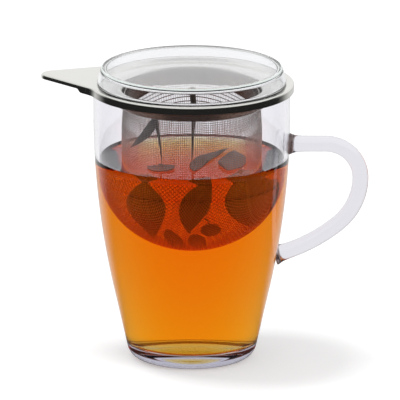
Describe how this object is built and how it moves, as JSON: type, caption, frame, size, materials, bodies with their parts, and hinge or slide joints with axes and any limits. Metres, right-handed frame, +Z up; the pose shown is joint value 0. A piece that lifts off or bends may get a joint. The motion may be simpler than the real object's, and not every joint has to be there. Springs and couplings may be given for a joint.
{
  "type": "lidded glass tea mug with infuser",
  "caption": "Clear glass mug that tapers to its base, with a looped rod handle, a drop-in wire mesh infuser with a pointed grip tab on its rim, and a loose glass lid.",
  "frame": {"origin": "centre of the mug's base, on the plane it stands on", "axes": "+Z up along the mug's axis, +X from the axis towards the handle; the picture looks along +Y"},
  "size_m": [0.1414, 0.0882, 0.1289],
  "materials": {
    "mug_glass": "clear blown glass, fire-polished lip",
    "rim_steel": "polished drawn stainless sheet",
    "wire_steel": "woven stainless wire cloth",
    "lid_glass": "clear pressed glass, faintly green at its edge"
  },
  "bodies": {
    "mug": {"mug_body": "mug_glass", "mug_handle": "mug_glass"},
    "infuser": {"infuser_rim": "rim_steel", "infuser_clamp_ring": "rim_steel", "infuser_basket": "wire_steel"},
    "lid": {"lid": "lid_glass"}
  },
  "joints": [
    {"name": "infuser_lift", "type": "slide", "parent": "mug", "child": "infuser", "axis": [0, 0, 1], "range_m": [0, 0.085]},
    {"name": "lid_lift", "type": "slide", "parent": "infuser", "child": "lid", "axis": [0, 0, 1], "range_m": [0, 0.05]}
  ]
}
